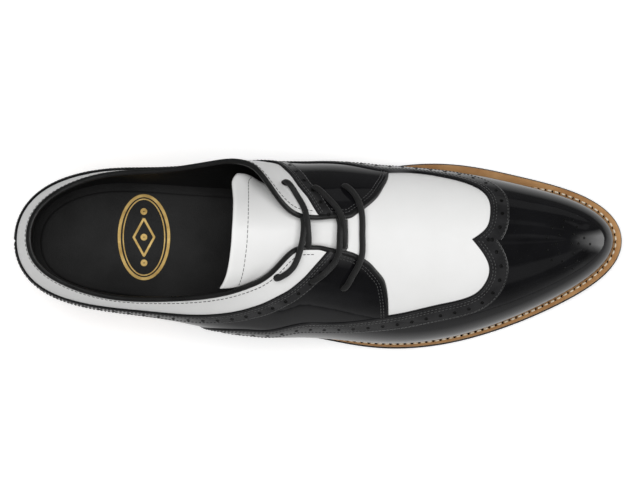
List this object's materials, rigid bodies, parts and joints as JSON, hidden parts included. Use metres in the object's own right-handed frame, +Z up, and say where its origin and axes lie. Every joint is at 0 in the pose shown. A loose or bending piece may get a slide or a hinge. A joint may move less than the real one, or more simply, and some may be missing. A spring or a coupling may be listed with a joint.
{
  "type": "wingtip dress shoe",
  "caption": "Hollow two-tone lace-up dress shoe for the right foot: white vamp and collar, black wing cap and quarters, tan welt on a low stacked heel.",
  "frame": {"origin": "centre of the bounding box, on the ground plane under the sole and heel", "axes": "+X from heel to toe, +Y to the inner (medial) side, +Z up"},
  "size_m": [0.3076, 0.0956, 0.0939],
  "materials": {
    "white_leather": "smooth semi-gloss",
    "patent_leather": "high-gloss patent",
    "binding_leather": "satin",
    "insole_leather": "matte",
    "welt_leather": "satin",
    "heel_leather": "satin",
    "outsole_rubber": "satin",
    "lift_rubber": "matte",
    "lace_cotton": "waxed"
  },
  "bodies": {
    "root": {"outsole": "outsole_rubber", "welt": "welt_leather", "heel_stack": "heel_leather", "heel_lift": "lift_rubber", "insole": "insole_leather", "upper": "white_leather", "wing_cap": "patent_leather", "quarter_medial": "patent_leather", "quarter_lateral": "patent_leather", "collar_binding": "binding_leather", "tongue": "white_leather", "lace_bar": "lace_cotton", "lace_cross_middle": "lace_cotton", "lace_cross_top": "lace_cotton"}
  },
  "joints": []
}
